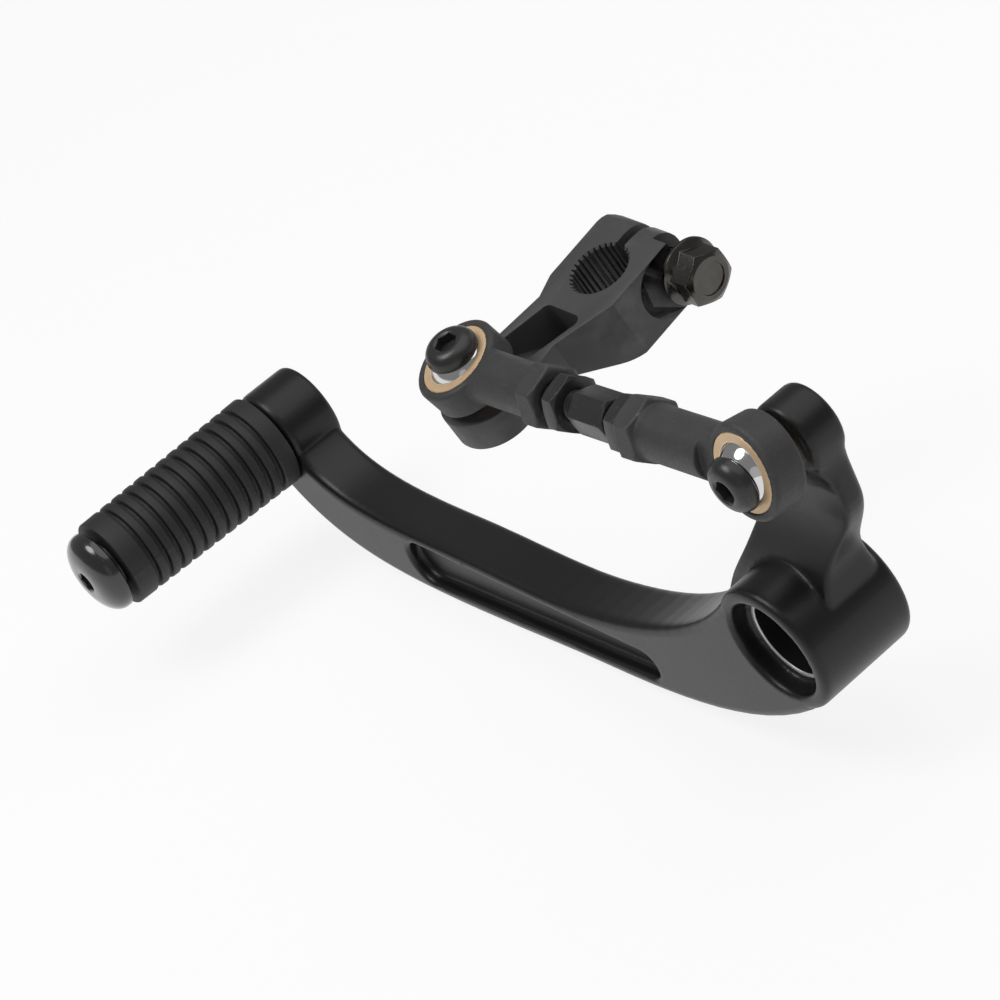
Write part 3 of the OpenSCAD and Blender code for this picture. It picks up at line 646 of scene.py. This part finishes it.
def makeShiftArm(look):
    inward = shiftArmPlace.inverted()
    splinePlace = Vector(look["splinePlace"]) * mm
    recess = look["recess"]

    def beside(edge):
        middle = inward @ ((edge.verts[0].co + edge.verts[1].co) * 0.5)
        along = min(max(middle.y, recess["low"] * mm), recess["high"] * mm)
        gap = math.hypot(middle.y - along, middle.z - recess["depth"] * mm)
        inRecess = middle.x > recess["side"] * mm and gap < recess["reach"] * mm
        return inRecess or (middle.xy - splinePlace).length < look["splineReach"] * mm

    shape = machinedCopy("shift_arm", look, beside)
    coat = satinCoat("armCoat", armCoatLook)
    finishPiece("shiftArmForging", shape, "shift_arm", look["crease"], coat)


makeShiftArm(shiftArmLook)

# Pivot bush
pivotBushLook = {
    "bore": 8.0, "outer": 9.0, "half": 7.0, "edge": 0.3, "edgeSteps": 5, "steps": 160,
    "crease": 32.0,
}


def makePivotBush(look):
    bore, outer, half, edge = look["bore"], look["outer"], look["half"], look["edge"]
    outline = [
        (bore, -half + edge),
        *arc((bore + edge, -half + edge), edge, 180.0, 270.0, look["edgeSteps"])[1:],
        (outer - edge, -half), (outer, -half + edge), (outer, half - edge), (outer - edge, half),
        *arc((bore + edge, half - edge), edge, 90.0, 180.0, look["edgeSteps"])]
    shape = turnedShape(outline, look["steps"], outward)
    finishPiece("turnedBush", shape, "pivot_bush", look["crease"])


makePivotBush(pivotBushLook)
print("stage: castings and bush made")

# Peg rubber, with rounded ribs, filleted grooves and a fine mould seam
pegRubberLook = {
    "length": 43.2, "start": 0.3, "root": 10.7, "tip": 10.0, "bore": 5.52,
    "innerBand": 3.9, "outerBand": 4.7, "ribEdge": 0.4, "edgeSteps": 5,
    "grooves": 12, "grooveWidth": 1.1, "grooveDepth": 1.3, "fillet": 0.22, "filletFoot": 0.06,
    "seamHeight": 0.10, "seamWidth": 1.4, "seamFrom": 8.8, "steps": 168, "crease": 48.0,
}


def makePegRubber(look):
    length, start, edge = look["length"], look["start"], look["ribEdge"]
    grooves, width = look["grooves"], look["grooveWidth"]
    fillet, foot = look["fillet"], look["filletFoot"]
    pitch = (length - look["innerBand"] - look["outerBand"] - width) / (grooves - 1)
    lows = [0.0] + [look["innerBand"] + step * pitch + width for step in range(grooves)]
    highs = [look["innerBand"] + step * pitch for step in range(grooves)] + [length]

    def skin(height):
        return look["root"] + (look["tip"] - look["root"]) * height / length

    outline = [(look["bore"], start)]
    for rib, (low, high) in enumerate(zip(lows, highs)):
        bottom, top = start + low, start + high
        if rib:
            floor = skin(low) - look["grooveDepth"]
            outline += [(floor + foot, bottom - foot), (floor + fillet, bottom)]
        outline += arc((skin(low) - edge, bottom + edge), edge, -90.0, 0.0, look["edgeSteps"])
        outline += arc((skin(high) - edge, top - edge), edge, 0.0, 90.0, look["edgeSteps"])
        if rib < grooves:
            floor = skin(high) - look["grooveDepth"]
            outline += [(floor + fillet, top), (floor + foot, top + foot)]
            outline += [(floor, top + fillet), (floor, top + width - fillet)]
    outline += [(look["bore"], start + length)]
    shape = turnedShape(outline, look["steps"], Matrix())
    for vert in shape.verts:
        if math.hypot(vert.co.x, vert.co.y) > look["seamFrom"] * mm:
            near = abs(vert.co.y) / (look["seamWidth"] * 0.5 * mm)
            lift = look["seamHeight"] * mm * max(0.0, 1.0 - near) ** 2
            vert.co.x += math.copysign(lift, vert.co.x)
    bmesh.ops.transform(shape, matrix=pegPlace, verts=shape.verts)
    finishPiece("ribbedRubber", shape, "peg_rubber", look["crease"])


makePegRubber(pegRubberLook)

# Ball joints: polished balls in bronze races with a bright lip
ballLook = {
    "radius": 6.35, "half": 4.5, "bore": 3.05, "edge": 0.18, "steps": 128, "arcSteps": 40,
    "crease": 24.0,
}
raceLook = {
    "seat": 6.40, "outer": 7.4, "half": 3.275, "edge": 0.15, "steps": 128, "arcSteps": 28,
    "lip": 0.16, "lipFlat": 0.7, "lipBright": 1.4, "lipEnd": 2.0, "crease": 24.0,
}


def makeBall(name, node, place, look):
    radius, half, bore, edge = look["radius"], look["half"], look["bore"], look["edge"]
    brim = math.degrees(math.asin((half - edge * 0.5) / radius))
    flat = math.sqrt(radius ** 2 - half ** 2) - edge * 0.5
    outline = [(bore, -half + edge), (bore + edge, -half), (flat, -half)]
    outline += arc((0.0, 0.0), radius, -brim, brim, look["arcSteps"])
    outline += [(flat, half), (bore + edge, half), (bore, half - edge)]
    shape = turnedShape(outline, look["steps"], place)
    finishPiece(name, shape, node, look["crease"])


def makeRace(name, node, place, look):
    seat, outer, half, edge = look["seat"], look["outer"], look["half"], look["edge"]
    brim = math.degrees(math.asin((half - look["lip"]) / seat))
    inner = math.sqrt(seat ** 2 - half ** 2)
    flat, brightTo, end = (
        inner + look["lip"] * look[share] for share in ("lipFlat", "lipBright", "lipEnd"))
    outline = [(outer, -half + edge), (outer, half - edge), (outer - edge, half)]
    outline += [(end, half), (flat, half)]
    outline += arc((0.0, 0.0), seat, brim, -brim, look["arcSteps"])
    outline += [(flat, -half), (end, -half), (outer - edge, -half)]
    shape = turnedShape(outline, look["steps"], Matrix())
    bright = shape.verts.layers.float.new("lip")
    for vert in shape.verts:
        radius = math.hypot(vert.co.x, vert.co.y) / mm
        vert[bright] = 1.0 if radius < brightTo else 0.0
    bmesh.ops.transform(shape, matrix=place, verts=shape.verts)
    finishPiece(name, shape, node, look["crease"])


makeBall("leverBall", "lever_ball", leverBallPlace, ballLook)
makeBall("armBall", "arm_ball", shiftArmPlace, ballLook)
makeRace("leverRace", "lever_race", leverEndPlace, raceLook)
makeRace("armRace", "arm_race", armEndPlace, raceLook)
print("stage: rubber and ball joints made")

# Adjuster: its hexagon from the CAD form, and real threads on its studs
adjusterLook = {
    "sharp": 45.0, "edge": 0.22, "segments": 3, "crease": 24.0,
    "hexFrom": 39.4, "hexTo": 49.4, "margin": 0.05, "studs": ((28.0, 40.6), (48.4, 58.0)),
}


def makeAdjuster(look):
    shape = machinedCopy("adjuster", look)
    inward = tieRodPlace.inverted()
    low, high = look["hexFrom"] - look["margin"], look["hexTo"] + look["margin"]
    studs = [vert for vert in shape.verts if not low < (inward @ vert.co).x / mm < high]
    bmesh.ops.delete(shape, geom=studs, context="VERTS")
    for start, stop in look["studs"]:
        addThread(shape, threadLook, start, stop, tieRodPlace @ sideways)
    finishPiece("threadedAdjuster", shape, "adjuster", look["crease"])


makeAdjuster(adjusterLook)

# Pinch bolt: flange and hexagon from the CAD form, and a thread on its shank
pinchBoltLook = {
    "sharp": 45.0, "edge": 0.18, "segments": 3, "crease": 24.0,
    "flangePlace": (14.4, 41.7, -13.05), "shankCut": -0.3, "shank": (-18.0, 1.6),
}


def makePinchBolt(look):
    shape = machinedCopy("pinch_bolt", look)
    flangePlace = shiftArmPlace @ moved(*look["flangePlace"])
    inward = flangePlace.inverted()
    shank = [vert for vert in shape.verts if (inward @ vert.co).x / mm < look["shankCut"]]
    bmesh.ops.delete(shape, geom=shank, context="VERTS")
    addThread(shape, threadLook, *look["shank"], flangePlace @ sideways)
    finishPiece("threadedPinchBolt", shape, "pinch_bolt", look["crease"])


makePinchBolt(pinchBoltLook)

# Screws, nuts and pin, machined from the CAD forms: what they share, then each one's own
smallPartLook = {"sharp": 45.0, "segments": 3, "crease": 24.0}
smallParts = {
    "peg_pin": {"name": "pegPin", "edge": 0.20, "segments": 2, "finish": "black_oxide"},
    "peg_screw": {"name": "domedPegScrew", "edge": 0.12},
    "lever_ball_screw": {"name": "leverBallScrew", "edge": 0.10},
    "arm_ball_screw": {"name": "armBallScrew", "edge": 0.10},
    "lever_lock_nut": {"name": "leverLockNut", "edge": 0.16},
    "arm_lock_nut": {"name": "armLockNut", "edge": 0.16},
}
for node, ownLook in smallParts.items():
    look = {**smallPartLook, **ownLook}
    shape = machinedCopy(node, look)
    finishPiece(look["name"], shape, node, look["crease"], finishes.get(look.get("finish")))
print("stage: small parts made")


# Pale floor, four lamps, and a world that lights dimly and is white to the camera
studio = {
    "floorDrop": 0.2 * mm,
    "floorSize": 3.0,
    "floorShade": 0.95,
    "floorRough": 0.85,
    "floorShine": 0.2,
    "floorLift": 0.86,
    "aim": (-0.07, -0.01, 0.0),
    "key": {"place": (-0.25, -0.35, 0.75), "size": 0.42, "power": 2.6},
    "top": {"place": (0.05, 0.25, 0.80), "size": 1.10, "power": 3.3},
    "rim": {"place": (-0.10, 0.80, 0.25), "size": 0.40, "power": 0.25},
    "fill": {"place": (0.60, -0.55, 0.25), "size": 0.50, "power": 0.15},
    "world": 0.26,
}


def addFloor(look):
    lowest = cadBounds[0][2] - look["floorDrop"]
    shape = bmesh.new()
    bmesh.ops.create_grid(shape, x_segments=1, y_segments=1, size=look["floorSize"])
    bmesh.ops.translate(shape, verts=shape.verts, vec=(0.0, 0.0, lowest))
    mesh = meshFrom(shape, "paleFloor")
    floor = bpy.data.objects.new("paleFloor", mesh)
    bpy.context.scene.collection.objects.link(floor)
    finish = Finish("floorFinish")
    finish.set(
        Base_Color=grey(look["floorShade"]), Roughness=look["floorRough"],
        Specular_IOR_Level=look["floorShine"])
    seenBy = finish.tree.nodes.new("ShaderNodeLightPath").outputs
    camera, glossy, through = (
        Value(finish.tree, seenBy[ray])
        for ray in ("Is Camera Ray", "Is Glossy Ray", "Is Transmission Ray"))
    white = finish.node("ShaderNodeEmission", inputs={"Color": grey(1.0), "Strength": 1.0})
    blend = finish.tree.nodes.new("ShaderNodeMixShader")
    lift = (camera * look["floorLift"] + glossy + through).clamped()
    for slot, value in zip(blend.inputs, (lift, finish.shader.outputs["BSDF"], white)):
        feed(finish.tree, slot, value)
    finish.tree.links.new(blend.outputs[0], finish.output.inputs["Surface"])
    mesh.materials.append(finish.material)


def addLamp(name, look, aim):
    data = bpy.data.lights.new(name, "AREA")
    data.shape = "DISK"
    data.size = look["size"]
    data.energy = look["power"]
    lamp = bpy.data.objects.new(name, data)
    bpy.context.scene.collection.objects.link(lamp)
    place = Vector(look["place"])
    turn = (Vector(aim) - place).to_track_quat("-Z", "Y").to_matrix().to_4x4()
    lamp.matrix_world = Matrix.Translation(place) @ turn


def addWorld(look):
    world = bpy.data.worlds.new("studioWorld")
    bpy.context.scene.world = world
    world.use_nodes = True
    tree = world.node_tree
    dim = tree.nodes["Background"]
    dim.inputs["Color"].default_value = grey(1.0)
    dim.inputs["Strength"].default_value = look["world"]
    white = tree.nodes.new("ShaderNodeBackground")
    white.inputs["Color"].default_value = grey(1.0)
    white.inputs["Strength"].default_value = 1.0
    rays = tree.nodes.new("ShaderNodeLightPath")
    choice = tree.nodes.new("ShaderNodeMixShader")
    tree.links.new(rays.outputs["Is Camera Ray"], choice.inputs[0])
    tree.links.new(dim.outputs[0], choice.inputs[1])
    tree.links.new(white.outputs[0], choice.inputs[2])
    tree.links.new(choice.outputs[0], tree.nodes["World Output"].inputs["Surface"])


addFloor(studio)
for lampName in ("key", "top", "rim", "fill"):
    addLamp(lampName + "Lamp", studio[lampName], studio["aim"])
addWorld(studio)
bpy.context.scene.view_settings.view_transform = "Standard"
print("stage: studio lit")
